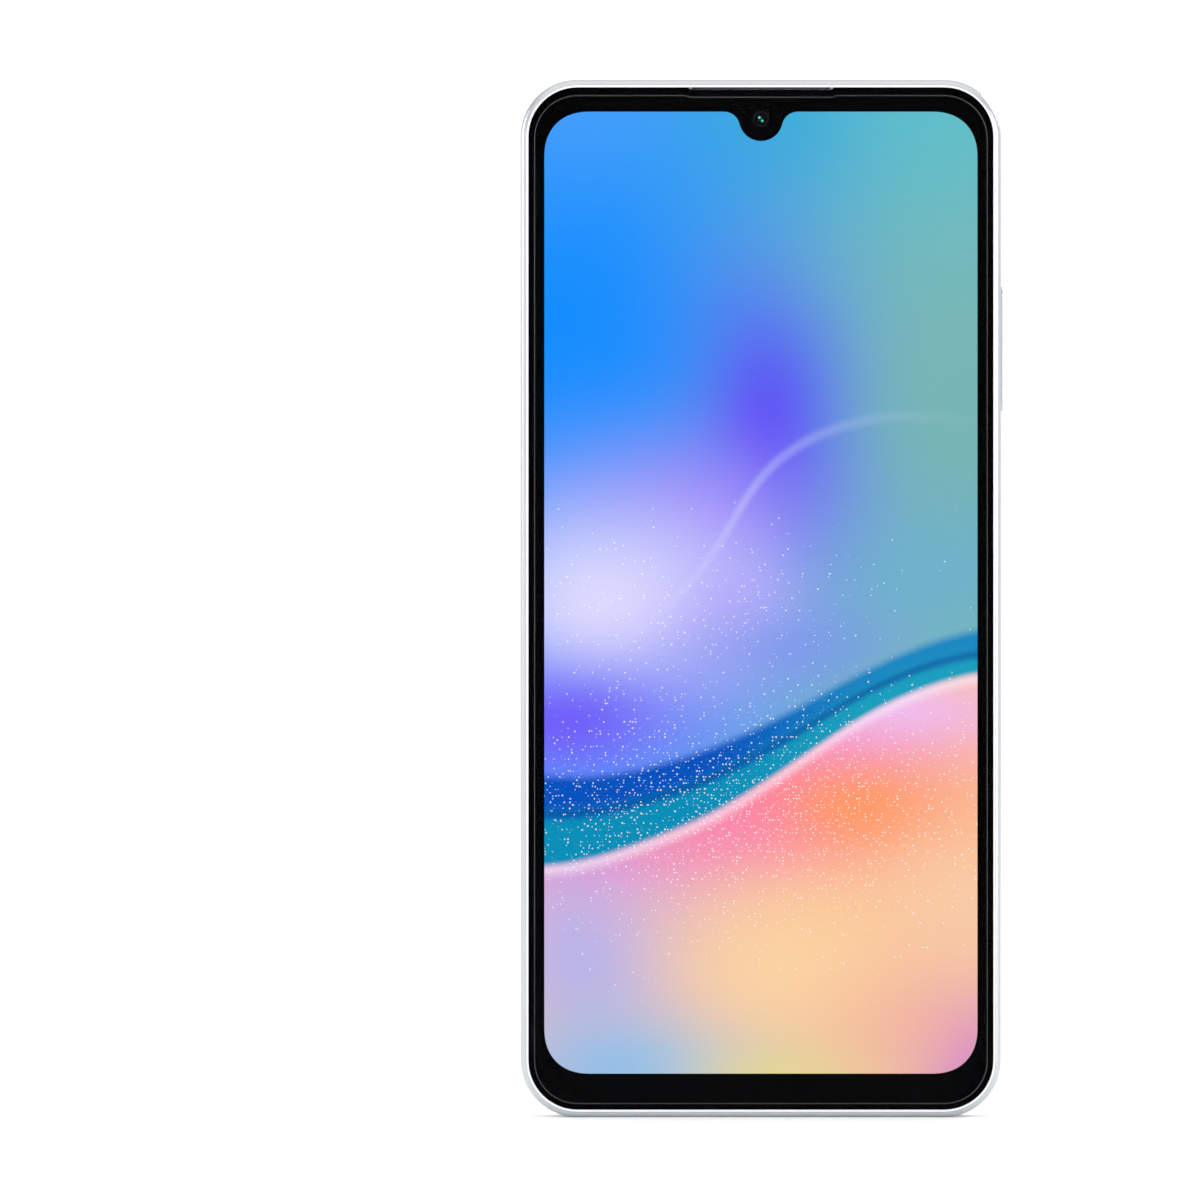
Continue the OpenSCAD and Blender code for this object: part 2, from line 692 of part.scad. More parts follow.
side_frame();
front_frame();
cover_glass();
glass_tape();
display_panel();
backlight();
display_flex();
earpiece_mesh();
earpiece();
front_camera();
back_cover();
cover_tape();
camera_ring_top();
camera_ring_middle();
camera_ring_bottom();
camera_glass_top();
camera_glass_middle();
camera_glass_bottom();
wide_camera();
main_camera();
focus_lens();
macro_camera();
flash_lens();
flash_led();
camera_flexes();
main_board();
board_shields();
board_chips();
board_connectors();
sim_socket();
sim_tray();
eject_rod();
eject_lever();
upper_bracket();
lower_bracket();
battery();
battery_tape();
battery_board();
main_flex();
antenna_cable();
sub_board();
usb_shell();
usb_tongue();
headphone_jack();
bottom_microphone();
top_microphone();
speaker_box();
speaker_cover();
speaker_magnet();
speaker_diaphragm();
speaker_mesh();
motor_housing();
vibration_rotor();
volume_key();
power_key();
fingerprint_sensor();
key_flex();
screw_nuts();
screws();
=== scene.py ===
"""Looks of the phone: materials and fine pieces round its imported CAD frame, with light and camera.

Lengths are in millimetres up to the point where they reach Blender, which works in metres.
X is the key side, -Y the screen, +Y the back, and Z is up, as in the CAD.
"""
import math

import bmesh
import bpy
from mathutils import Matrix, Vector


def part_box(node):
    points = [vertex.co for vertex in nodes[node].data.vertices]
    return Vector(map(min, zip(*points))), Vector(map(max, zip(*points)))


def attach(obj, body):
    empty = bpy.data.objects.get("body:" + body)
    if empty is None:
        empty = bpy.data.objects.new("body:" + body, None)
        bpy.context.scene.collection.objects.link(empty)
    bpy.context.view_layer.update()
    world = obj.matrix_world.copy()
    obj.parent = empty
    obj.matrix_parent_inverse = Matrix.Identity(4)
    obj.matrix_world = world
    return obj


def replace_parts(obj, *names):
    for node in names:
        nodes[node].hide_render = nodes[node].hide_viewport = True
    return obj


MM = 0.001
BODY = "phone_body"

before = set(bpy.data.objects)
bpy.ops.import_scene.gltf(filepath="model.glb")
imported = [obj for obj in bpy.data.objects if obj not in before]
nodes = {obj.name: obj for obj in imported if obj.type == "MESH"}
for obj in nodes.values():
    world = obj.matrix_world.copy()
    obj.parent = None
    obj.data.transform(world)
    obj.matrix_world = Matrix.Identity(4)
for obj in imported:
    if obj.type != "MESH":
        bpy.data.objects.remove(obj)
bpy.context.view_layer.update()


# ---------------------------------------------------------------- materials

def rgb(red, green, blue):
    """Screen colour, 0 to 255, as Blender's linear colour."""
    def linear(c):
        c /= 255
        return c / 12.92 if c <= 0.04045 else ((c + 0.055) / 1.055) ** 2.4
    return (linear(red), linear(green), linear(blue), 1)


class Look:
    """A Principled material and the nodes that drive its colour, roughness and bump."""

    def __init__(self, name, **values):
        self.material = bpy.data.materials.new(name)
        self.material.use_nodes = True
        self.tree = self.material.node_tree
        self.shader = self.tree.nodes["Principled BSDF"]
        for socket, value in values.items():
            self.shader.inputs[socket.replace("_", " ")].default_value = value
        self.place = self.add("ShaderNodeTexCoord").outputs["Object"]

    def add(self, kind, inputs=None, **settings):
        node = self.tree.nodes.new(kind)
        for key, value in settings.items():
            setattr(node, key, value)
        for key, value in (inputs or {}).items():
            self.feed(node.inputs[key], value)
        return node

    def feed(self, socket, value):
        if isinstance(value, bpy.types.NodeSocket):
            self.tree.links.new(value, socket)
        else:
            socket.default_value = value

    def set(self, socket, value):
        self.feed(self.shader.inputs[socket], value)

    def math(self, operation, *values):
        node = self.add("ShaderNodeMath", operation=operation)
        for socket, value in zip(node.inputs, values):
            self.feed(socket, value)
        return node.outputs[0]

    def mix(self, share, first, second):
        node = self.add("ShaderNodeMix", data_type="RGBA")
        for socket, value in ((0, share), (6, first), (7, second)):
            self.feed(node.inputs[socket], value)
        return node.outputs[2]

    def span(self, value, low, high, to_low=0.0, to_high=1.0, smooth=True):
        kind = "SMOOTHSTEP" if smooth else "LINEAR"
        node = self.add("ShaderNodeMapRange", interpolation_type=kind)
        for socket, v in zip(node.inputs, (value, low, high, to_low, to_high)):
            self.feed(socket, v)
        return node.outputs[0]

    def stretch(self, x=1, y=1, z=1):
        node = self.add("ShaderNodeMapping", {0: self.place, 3: (x, y, z)})
        return node.outputs[0]

    def noise(self, size, place=None, detail=3.0):
        """Noise with features of a size in millimetres."""
        inputs = {"Vector": place or self.place, "Scale": 1 / (size * MM),
                  "Detail": detail, "Roughness": 0.55}
        return self.add("ShaderNodeTexNoise", inputs).outputs[0]

    def cells(self, size, feature="F1"):
        inputs = {"Vector": self.place, "Scale": 1 / (size * MM)}
        return self.add("ShaderNodeTexVoronoi", inputs, feature=feature)

    def axes(self):
        node = self.add("ShaderNodeSeparateXYZ", {0: self.place})
        return [self.math("MULTIPLY", out, 1000.0) for out in node.outputs]

    def length(self, *steps):
        """Length of a step, from its parts."""
        return self.math("SQRT", self.math("ADD", *(self.math("MULTIPLY", step, step)
                                                    for step in steps)))

    def around(self, at):
        """Steps along x and z from a middle, and the distance from it, in millimetres."""
        x, _, z = self.axes()
        steps = [self.math("SUBTRACT", value, middle) for value, middle in zip((x, z), at)]
        return (*steps, self.length(*steps))

    def band(self, value, rise, fall):
        """1 between two soft edges, each given by its start and end."""
        return self.math("MULTIPLY", self.span(value, *rise), self.span(value, *fall, 1.0, 0.0))

    def tint(self, color, spread, size):
        """Colour that drifts round a middle."""
        dark = tuple(c * (1 - spread) for c in color[:3]) + (1,)
        light = tuple(min(c * (1 + spread), 1) for c in color[:3]) + (1,)
        self.set("Base Color", self.mix(self.noise(size), dark, light))

    def gloss(self, rough, spread, size, place=None):
        fac = self.noise(size, place)
        self.set("Roughness", self.span(fac, 0.3, 0.7, rough - spread, rough + spread, False))

    def bump(self, height, depth, strength=1.0, edge=0.0):
        """Raises the surface by a height in millimetres, over edges softened by a radius."""
        inputs = {"Height": height, "Distance": depth * MM, "Strength": strength}
        if edge:
            soft = self.add("ShaderNodeBevel", {"Radius": edge * MM}, samples=4)
            inputs["Normal"] = soft.outputs[0]
        self.set("Normal", self.add("ShaderNodeBump", inputs).outputs[0])


def plain(name, color, rough, metal=0.0, drift=0.06, size=2.0, grain=0.25, depth=0.01,
          edge=0.0, **values):
    """Moulded, painted or cast surface: drifting colour and gloss, with a fine grain."""
    look = Look(name, Metallic=metal, **values)
    look.tint(color, drift, size)
    look.gloss(rough, min(0.08, rough * 0.35), size * 0.7)
    look.bump(look.noise(grain, detail=4.0), depth, edge=edge)
    return look


def brushed(name, color, rough, along, grain=0.12, depth=0.004, edge=0.0):
    """Metal with fine lines along one axis."""
    look = Look(name, Metallic=1.0)
    sizes = {axis: 0.04 if axis == along else 1 for axis in "xyz"}
    lines = look.stretch(**sizes)
    dark = tuple(c * 0.86 for c in color[:3]) + (1,)
    look.set("Base Color", look.mix(look.noise(grain * 2, lines), dark, color))
    look.gloss(rough, rough * 0.35, grain * 3, lines)
    look.bump(look.noise(grain, lines), depth, edge=edge)
    return look


def silver_paint():
    """Satin metal paint of the frame and the keys."""
    look = Look("silver_paint", Metallic=1.0)
    look.set("Base Color", look.mix(look.noise(0.6), rgb(188, 192, 195), rgb(196, 200, 203)))
    look.gloss(0.36, 0.03, 3.0)
    look.bump(look.noise(0.5), 0.002)
    return look


def pearl_back():
    """Pearl silver under a clear coat. Its fine brushing fans out from the middle camera, and so
    does a painted sheen: lighter rays in its colour that fade away from there. Its colour is also
    painted a little lighter towards the bottom.
    """
    look = Look("pearl_back", Metallic=1.0, Anisotropic=0.6, Coat_Weight=0.35,
                Coat_Roughness=0.06)
    middle = (CAMERA_X, CAMERA_ZS[1])
    dx, dz, reach = look.around(middle)
    turn = look.math("ARCTAN2", dz, dx)
    circle_at = look.add("ShaderNodeCombineXYZ", {0: look.math("COSINE", turn),
                                                  1: look.math("SINE", turn), 2: 0.0})
    # Painted sheen: lighter rays round the middle camera stand in for the highlights that fan out
    # from it
    rays = look.add("ShaderNodeTexNoise", {"Vector": circle_at.outputs[0], "Scale": 1.9,
                                           "Detail": 2.0, "Roughness": 0.5}).outputs[0]
    near = look.span(reach, 6.0, 95.0, 1.0, 0.25)
    sheen = look.math("MULTIPLY", look.span(rays, 0.3, 0.7), near)
    # Painted light: the ground colour is a little lighter towards the bottom
    rise = look.span(dz, -middle[1], HEIGHT - middle[1])
    ground = look.mix(rise, rgb(194, 198, 204), rgb(186, 191, 198))
    lines = look.noise(0.3, look.stretch(1, 1, 0.02))
    ground = look.mix(look.span(lines, 0.3, 0.7, 0.0, 0.22), ground, rgb(212, 217, 223))
    look.set("Base Color", look.mix(sheen, ground, rgb(228, 232, 238)))
    look.gloss(0.46, 0.04, 0.3, look.stretch(1, 1, 0.03))
    back = look.add("ShaderNodeCombineXYZ", {0: dz, 1: 0.0, 2: look.math("MULTIPLY", dx, -1.0)})
    tangent = look.add("ShaderNodeVectorMath", {0: back.outputs[0]}, operation="NORMALIZE")
    look.set("Tangent", tangent.outputs[0])
    look.bump(lines, 0.0015)
    return look


def clear_glass(name, ior):
    """Coated glass: a low index keeps its reflections as faint as the coating does."""
    look = Look(name, Roughness=0.0, IOR=ior, Transmission_Weight=1.0, Base_Color=(1, 1, 1, 1))
    look.gloss(0.012, 0.01, 9.0)
    return look


def woven(name, light, dark, pitch, rough, metal):
    """Woven wire: open holes in a square grid."""
    look = Look(name, Metallic=metal)
    x, y, z = look.axes()
    waves = []
    for across in (look.math("ADD", x, y), look.math("ADD", look.math("SUBTRACT", x, y), z)):
        waves.append(look.math("ABSOLUTE", look.math("SINE", look.math(
            "MULTIPLY", across, math.pi / pitch))))
    wires = look.math("MAXIMUM", look.span(waves[0], 0.55, 0.8), look.span(waves[1], 0.55, 0.8))
    look.set("Base Color", look.mix(wires, dark, light))
    look.gloss(rough, 0.06, 0.5)
    look.bump(wires, 0.04)
    return look


def board_look():
    """Green board: copper tracks under the mask, and pads."""
    look = Look("circuit_board", Metallic=0.1, Coat_Weight=0.4)
    tracks = look.cells(1.6, feature="DISTANCE_TO_EDGE").outputs["Distance"]
    track = look.span(tracks, 0.05, 0.09, 1.0, 0.0)
    pads = look.span(look.cells(1.1).outputs["Distance"], 0.16, 0.2, 1.0, 0.0)
    green = look.mix(track, rgb(16, 62, 44), rgb(34, 102, 66))
    look.set("Base Color", look.mix(pads, green, rgb(186, 160, 96)))
    look.gloss(0.38, 0.08, 1.5)
    look.bump(look.math("MAXIMUM", track, pads), 0.03)
    return look


def picture_look():
    """The lit screen: soft fields of colour, flowing bands and star dust, an own design."""
    look = Look("display_picture", Base_Color=(0, 0, 0, 1), Roughness=0.5,
                Specular_IOR_Level=0.0, Emission_Strength=1.0)
    look.material.cycles.emission_sampling = "NONE"
    x, _, z = look.axes()
    drift = look.noise(60.0, detail=1.0)
    x = look.math("ADD", x, look.span(drift, 0.3, 0.7, -4.0, 4.0, False))

    def blob(middle_x, middle_z, reach_x, reach_z):
        """Soft spot: 1 in its middle, fading to 0."""
        terms = []
        for value, middle, reach in ((x, middle_x, reach_x), (z, middle_z, reach_z)):
            term = look.math("DIVIDE", look.math("SUBTRACT", value, middle), reach)
            terms.append(look.math("MULTIPLY", term, term))
        return look.math("POWER", 0.37, look.math("ADD", *terms))

    def fields(color, spots):
        for middle_x, middle_z, reach_x, reach_z, strength, tone in spots:
            share = look.math("MULTIPLY", blob(middle_x, middle_z, reach_x, reach_z), strength)
            color = look.mix(share, color, rgb(*tone))
        return color

    def wave(base, rise, swing, length, phase):
        """Height of a flowing line over the screen's width."""
        turn = look.math("MULTIPLY", look.math("ADD", x, phase), math.tau / length)
        line = look.math("MULTIPLY", look.math("SINE", turn), swing)
        return look.math("ADD", look.math("MULTIPLY", x, rise), look.math("ADD", line, base))

    def above(line, soft):
        return look.span(look.math("SUBTRACT", z, line), -soft, soft)

    side = look.span(x, -30.0, 32.0)
    sky = look.mix(side, rgb(28, 146, 250), rgb(122, 184, 184))
    sky = fields(sky, (
        (-30, 166, 26, 22, 0.7, (84, 166, 252)), (4, 166, 20, 20, 0.75, (40, 170, 218)),
        (32, 166, 22, 24, 0.7, (84, 194, 208)),
        (-30, 128, 26, 26, 0.8, (12, 140, 255)), (34, 104, 20, 30, 0.6, (116, 178, 178)),
        (2, 112, 12, 22, 0.95, (92, 74, 246)), (-10, 98, 18, 12, 0.85, (150, 122, 250)),
        (-25, 82, 20, 17, 1.0, (226, 222, 255)), (-8, 82, 12, 11, 0.75, (188, 170, 254)),
        (28, 88, 20, 12, 0.6, (106, 176, 214)), (-32, 64, 22, 10, 1.0, (112, 96, 250)),
        (4, 76, 18, 7, 0.7, (124, 150, 236)),
    ))
    land = rgb(250, 196, 150)
    land = fields(land, (
        (-28, 44, 20, 12, 0.85, (238, 132, 216)), (-4, 53, 26, 12, 1.0, (254, 108, 178)),
        (10, 62, 26, 8, 0.8, (246, 140, 208)),
        (24, 66, 18, 6, 0.8, (238, 190, 246)), (16, 50, 18, 8, 0.95, (255, 152, 92)),
        (-12, 46, 16, 7, 0.7, (250, 134, 172)), (-30, 26, 18, 18, 0.9, (176, 176, 240)),
        (-22, 8, 24, 10, 0.9, (128, 190, 238)), (4, 24, 20, 13, 0.8, (252, 214, 164)),
        (4, 6, 16, 7, 0.7, (226, 222, 138)), (34, 34, 12, 14, 0.7, (248, 204, 170)),
        (34, 8, 12, 12, 0.9, (206, 130, 208)), (22, 14, 14, 10, 0.5, (244, 178, 156)),
    ))
    crest = wave(66.0, 0.17, 6.5, 118.0, -8.0)
    foot = wave(55.5, 0.25, 7.0, 118.0, -4.0)
    middle = wave(61.0, 0.21, 6.2, 112.0, -6.0)
    shore = above(foot, 0.9)
    band = look.mix(above(middle, 2.2), rgb(8, 142, 184), rgb(6, 82, 190))
    band = look.mix(look.span(side, 0.2, 1.0, 0.0, 0.5), band, rgb(38, 172, 196))
    deep = look.span(look.math("ABSOLUTE", look.math("SUBTRACT", z, middle)), 0.0, 1.3, 0.55, 0.0)
    band = look.mix(deep, band, rgb(6, 62, 150))
    color = look.mix(above(crest, 1.1), band, sky)
    color = look.mix(shore, land, color)
    glow = look.span(look.math("ABSOLUTE", look.math("SUBTRACT", z, foot)), 0.0, 2.6, 0.55, 0.0)
    low = look.math("SUBTRACT", 1.0, shore)
    color = look.mix(look.math("MULTIPLY", glow, low), color, rgb(255, 244, 255))
    veil = wave(96.0, 0.55, 9.0, 90.0, 14.0)
    edge = look.span(look.math("ABSOLUTE", look.math("SUBTRACT", z, veil)), 0.0, 1.6, 0.28, 0.0)
    color = look.mix(look.math("MULTIPLY", edge, blob(-2, 100, 26, 24)), color, rgb(214, 226, 255))

    flat = look.add("ShaderNodeCombineXYZ", {0: x, 1: z, 2: 0.0}).outputs[0]
    dust = look.add("ShaderNodeTexVoronoi", {"Vector": flat, "Scale": 2.0},
                    voronoi_dimensions="2D")
    pick = look.add("ShaderNodeSeparateColor", {0: dust.outputs["Color"]})
    size = look.span(pick.outputs[0], 0.0, 1.0, 0.05, 0.3, False)
    grain = look.math("LESS_THAN", dust.outputs["Distance"], size)
    near = look.math("MAXIMUM", blob(-4, 50, 40, 15), look.math("MULTIPLY",
                                                               blob(-14, 82, 24, 9), 0.4))
    chosen = look.math("LESS_THAN", pick.outputs[1], look.math("MULTIPLY", near, 0.5))
    star = look.math("MULTIPLY", grain, chosen)
    look.set("Emission Color", look.mix(look.math("MULTIPLY", star, 0.75), color,
                                        rgb(255, 250, 255)))
    return look


def zoned(name, low_tone, high_tone, axis, edge_at, rough, metal_low, metal_high):
    """Two finishes on one part, which meet where a coordinate passes a value."""
    look = Look(name)
    share = look.span(look.axes()["xyz".index(axis)], edge_at - 0.03, edge_at + 0.03)
    drift = look.noise(2.5)
    tones = [look.mix(drift, tuple(c * 0.95 for c in tone[:3]) + (1,), tone)
             for tone in (low_tone, high_tone)]
    look.set("Base Color", look.mix(share, *tones))
    look.set("Metallic", look.span(share, 0.0, 1.0, metal_low, metal_high, False))
    look.gloss(rough, 0.05, 2.0)
    look.bump(look.noise(0.3), 0.004, edge=0.05)
    return look


def print_look(name, at, reach):
    """Black print under a camera's glass, with a painted reflection that makes it a little lighter
    towards its upper outer side.
    """
    look = Look(name, Specular_IOR_Level=0.0)
    dx, dz, _ = look.around(at)
    # Painted reflection: the print is lighter towards its upper outer side
    share = look.span(look.math("ADD", dx, dz), -0.5 * reach, 1.5 * reach)
    look.set("Base Color", look.mix(share, rgb(2, 2, 2), rgb(44, 44, 46)))
    look.gloss(0.5, 0.06, 1.5)
    look.bump(look.noise(0.3), 0.002)
    return look


def ring_look(name, at):
    """Polished black ring with painted highlights: silver on its crest's upper outer side,
    and a grey gleam on the opposite inner slope."""
    look = Look(name, Specular_IOR_Level=0.2)
    dx, dz, reach = look.around(at)
    diagonal = look.math("MULTIPLY", reach, math.sqrt(2))
    lean = look.math("DIVIDE", look.math("ADD", dx, dz), diagonal)
    away = look.math("DIVIDE", look.math("ADD", look.math("MULTIPLY", dx, 0.35), dz), reach)
    # Painted highlight: silver along the crest, strongest on its upper outer side
    crest = look.math("MULTIPLY", look.band(reach, (6.08, 6.12), (6.26, 6.3)),
                      look.span(lean, -0.8, 0.9, 0.1, 1.0))
    # Painted highlight: a grey gleam on the inner slope, opposite the crest's
    gleam = look.math("MULTIPLY", look.span(lean, -0.35, -0.95),
                      look.span(away, -0.2, -0.9, 1.0, 0.35))
    slope = look.math("MULTIPLY", look.band(reach, (5.42, 5.6), (5.85, 6.0)), gleam)
    black = look.mix(look.noise(0.5), rgb(5, 5, 6), rgb(10, 10, 11))
    tone = look.mix(slope, black, rgb(214, 216, 218))
    look.set("Base Color", look.mix(crest, tone, rgb(206, 208, 210)))
    look.gloss(0.16, 0.04, 1.0)
    look.bump(look.noise(0.2), 0.001)
    return look


def glint_look(name, at, reach, tone, far_tone, side=-1):
    """Dark lens with painted glints: two soft coloured spots across its middle that stand in for
    reflections on its coating, the first one up and to a side."""
    look = Look(name, Roughness=0.03, IOR=1.25)
    dx, dz, _ = look.around(at)
    deep = look.mix(look.noise(0.8), rgb(2, 3, 4), rgb(4, 7, 9))
    # Painted glints, one on each side of the middle
    for turn, spot_tone in ((1, tone), (-1, far_tone)):
        away = look.length(look.math("SUBTRACT", dx, 0.55 * side * reach * turn),
                           look.math("SUBTRACT", dz, 0.62 * reach * turn))
        deep = look.mix(look.span(away, reach * 0.28, reach * 0.6, 1.0, 0.0), deep, spot_tone)
    look.set("Base Color", deep)
    return look


def flash_look():
    """Milky moulded lens with concentric grooves, yellow over the lamp."""
    look = Look("flash_lens", IOR=1.35, Transmission_Weight=0.25)
    _, _, reach = look.around(FLASH_AT)
    grooves = look.math("SINE", look.math("MULTIPLY", reach, math.tau / 0.3))
    warm = look.mix(look.noise(0.7), rgb(238, 220, 120), rgb(250, 236, 156))
    tone = look.mix(look.span(reach, 0.35, 1.15), warm, rgb(240, 236, 226))
    look.set("Base Color", look.mix(look.span(reach, 1.98, 2.03), tone, rgb(124, 125, 128)))
    look.gloss(0.14, 0.05, 1.0)
    look.bump(grooves, 0.03, 0.6)
    return look


# ---------------------------------------------------------------- meshes

def arc(x, z, radius, start, end, steps, fullness=1.0):
    """Points on an arc, by angle in degrees. Below 1, the fullness pushes a quarter arc out
    towards its corner."""
    def bend(part):
        return math.copysign(abs(round(part, 9)) ** fullness, part)
    turns = [math.radians(start + (end - start) * i / steps) for i in range(steps + 1)]
    return [(x + radius * bend(math.cos(t)), z + radius * bend(math.sin(t))) for t in turns]


def rounded(half_w, low, high, radius, steps, fullness=1.0):
    """Round-cornered rectangle, anticlockwise from the right side."""
    inner = half_w - radius
    return (arc(inner, high - radius, radius, 0, 90, steps, fullness)
            + arc(-inner, high - radius, radius, 90, 180, steps, fullness)
            + arc(-inner, low + radius, radius, 180, 270, steps, fullness)
            + arc(inner, low + radius, radius, 270, 360, steps, fullness))


def circle(x, z, radius):
    sides = 64
    return arc(x, z, radius, 0, 360 * (1 - 1 / sides), sides - 1)


def mark_sharp(mesh, angle):
    """Ends the smooth shading at edges that bend by more than an angle in degrees."""
    for edge in mesh.edges:
        if len(edge.link_faces) == 2 and edge.calc_face_angle() > math.radians(angle):
            edge.smooth = False


def piece(name, mesh, look, body=BODY):
    """A mesh, already in place, as a piece that rides on a body."""
    data = bpy.data.meshes.new(name)
    mesh.normal_update()
    mesh.to_mesh(data)
    mesh.free()
    made = bpy.data.objects.new(name, data)
    bpy.context.scene.collection.objects.link(made)
    data.materials.append(look.material)
    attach(made, body)
    return made


def sheet(name, loops, y, look):
    """Flat sheet between two depths, with the second and later loops cut out."""
    mesh = bmesh.new()
    edges = []
    for loop in loops:
        verts = [mesh.verts.new((px * MM, y[0] * MM, pz * MM)) for px, pz in loop]
        edges += [mesh.edges.new(pair) for pair in zip(verts, verts[1:] + verts[:1])]
    bmesh.ops.triangle_fill(mesh, use_beauty=True, use_dissolve=False, edges=edges)
    grown = bmesh.ops.extrude_face_region(mesh, geom=list(mesh.faces))["geom"]
    moved = [v for v in grown if isinstance(v, bmesh.types.BMVert)]
    bmesh.ops.translate(mesh, vec=(0, (y[1] - y[0]) * MM, 0), verts=moved)
    bmesh.ops.recalc_face_normals(mesh, faces=mesh.faces)
    return piece(name, mesh, look)


def lathe(name, profile, at, look, body=BODY, steps=96, closed=True):
    """Turns (radius, depth) points about an axis along Y through (x, z)."""
    mesh = bmesh.new()
    rings = []
    for radius, depth in profile:
        if radius == 0:
            rings.append([mesh.verts.new((at[0] * MM, depth * MM, at[1] * MM))] * steps)
            continue
        turns = [math.tau * i / steps for i in range(steps)]
        rings.append([mesh.verts.new(((at[0] + radius * math.cos(t)) * MM, depth * MM,
                                      (at[1] + radius * math.sin(t)) * MM)) for t in turns])
    pairs = list(zip(range(len(rings)), range(1, len(rings))))
    if closed:
        pairs.append((len(rings) - 1, 0))
    for a, b in pairs:
        for i in range(steps):
            j = (i + 1) % steps
            corners = []
            for v in (rings[a][i], rings[a][j], rings[b][j], rings[b][i]):
                if v not in corners:
                    corners.append(v)
            if len(corners) > 2:
                face = mesh.faces.new(corners)
                face.smooth = True
    bmesh.ops.recalc_face_normals(mesh, faces=mesh.faces)
    mark_sharp(mesh, 28)
    return piece(name, mesh, look, body)


def blocks(name, boxes, look, bevel):
    """Small bevelled blocks as one piece, each given by its limits on x, y and z."""
    mesh = bmesh.new()
    for limits in boxes:
        made = bmesh.ops.create_cube(mesh, size=1)["verts"]
        for v in made:
            v.co = Vector([(lo + hi) / 2 * MM + c * (hi - lo) * MM
                           for c, (lo, hi) in zip(v.co, limits)])
    bmesh.ops.bevel(mesh, geom=list(mesh.edges), offset=bevel * MM, segments=2,
                    affect="EDGES", profile=0.6)
    bmesh.ops.recalc_face_normals(mesh, faces=mesh.faces)
    return piece(name, mesh, look)


def recut(node, name, look):
    """Copy of a CAD node with its long slivers cut into short triangles, to shade cleanly."""
    pitch = 6.0
    mesh = bmesh.new()
    mesh.from_mesh(nodes[node].data)
    bmesh.ops.remove_doubles(mesh, verts=mesh.verts, dist=0.001 * MM)
    bmesh.ops.dissolve_limit(mesh, angle_limit=math.radians(0.4), verts=mesh.verts,
                             edges=mesh.edges)
    for axis, (first, last) in zip((0, 2), (box_mm(node)[0], box_mm(node)[2])):
        normal = Vector([1 if i == axis else 0 for i in range(3)])
        for i in range(1, int((last - first) / pitch) + 1):
            parts = list(mesh.verts) + list(mesh.edges) + list(mesh.faces)
            # An odd share of the pitch keeps the cuts off the edges that are there
            bmesh.ops.bisect_plane(mesh, geom=parts, plane_no=normal,
                                   plane_co=normal * (first + (i - 0.37) * pitch) * MM)
    bmesh.ops.triangulate(mesh, faces=mesh.faces, ngon_method="BEAUTY")
    for face in mesh.faces:
        face.smooth = True
    mark_sharp(mesh, 25)
    made = piece(name, mesh, look)
    shade = made.modifiers.new("even_shading", "WEIGHTED_NORMAL")
    shade.keep_sharp = True
    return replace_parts(made, node)


# ---------------------------------------------------------------- where things are

def box_mm(node):
    low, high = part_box(node)
    return [tuple(c / MM for c in pair) for pair in zip(low, high)]


HEIGHT = box_mm("side_frame")[2][1]
GLASS_X, GLASS_Y, GLASS_Z = box_mm("cover_glass")
CAMERAS = ("top", "middle", "bottom")
rings = [box_mm("camera_ring_" + name) for name in CAMERAS]
CAMERA_X = sum(rings[0][0]) / 2
CAMERA_ZS = [sum(ring[2]) / 2 for ring in rings]
RING_R = (rings[0][0][1] - rings[0][0][0]) / 2
BACK = box_mm("back_cover")[1][1]
flash = box_mm("flash_lens")
FLASH_AT = (sum(flash[0]) / 2, sum(flash[2]) / 2)
# Front camera: its centre, and the radius of its hole in the print
SELFIE_AT = (0, HEIGHT - 6.4)
SELFIE_HOLE = 1.05
# Lit area: half its width, its bottom and top, and the size and fullness of its corners
LIT = (35.05, 7.1, HEIGHT - 5.2, 7.4)
LIT_FULLNESS = 0.877
NOTCH_R = 3.55
NOTCH_FILLET = 2.6
# Depth where the front frame's white lip ends, its white a painted highlight of the lip's chamfered
# edge, and where the tray's silver door ends
LIP_FOOT = -2.9
DOOR_FOOT = -36.9


# ---------------------------------------------------------------- looks

silver = silver_paint()
screen_glass = clear_glass("screen_glass", 1.09)
lens_glass = clear_glass("lens_glass", 1.1)
black_print = plain("black_print", rgb(3, 3, 4), 0.6, drift=0.2, Specular_IOR_Level=0.0)
# Grey of the painted reflection along the cover glass's edge
painted_edge_reflection = plain("painted_edge_reflection", rgb(84, 86, 89), 0.6, Specular_IOR_Level=0.0)
dark_print = plain("dark_print", rgb(32, 33, 35), 0.6, Specular_IOR_Level=0.0)
black_tape = plain("black_tape", rgb(20, 20, 21), 0.75, grain=0.15, depth=0.02)
black_plastic = plain("black_plastic", rgb(22, 23, 25), 0.45, grain=0.12, depth=0.02, edge=0.08)
dark_barrel = plain("dark_barrel", rgb(30, 31, 34), 0.35, 0.3, grain=0.08, depth=0.01)
grey_barrel = plain("grey_barrel", rgb(50, 49, 48), 0.5, grain=0.1, depth=0.01)
steel = brushed("steel", rgb(190, 192, 195), 0.26, "z", edge=0.05)
shield = brushed("shield_steel", rgb(186, 189, 192), 0.3, "x", edge=0.12)
brass = brushed("brass", rgb(206, 168, 92), 0.3, "y")
gold = plain("gold_contact", rgb(222, 180, 98), 0.24, 1.0, drift=0.05, size=0.6)
magnet = plain("magnet", rgb(150, 152, 156), 0.3, 0.9, drift=0.08, size=1.5)
membrane = plain("membrane", rgb(36, 37, 40), 0.6, grain=0.3, depth=0.04, edge=0.1)
chip = plain("chip", rgb(34, 35, 38), 0.55, grain=0.08, depth=0.01, edge=0.06)
connector = plain("connector", rgb(214, 206, 186), 0.5, grain=0.2, edge=0.05)
flex = plain("flex", rgb(188, 108, 40), 0.36, 0.15, drift=0.14, size=0.8, depth=0.02)
cable = plain("cable", rgb(26, 27, 29), 0.42, grain=0.2)
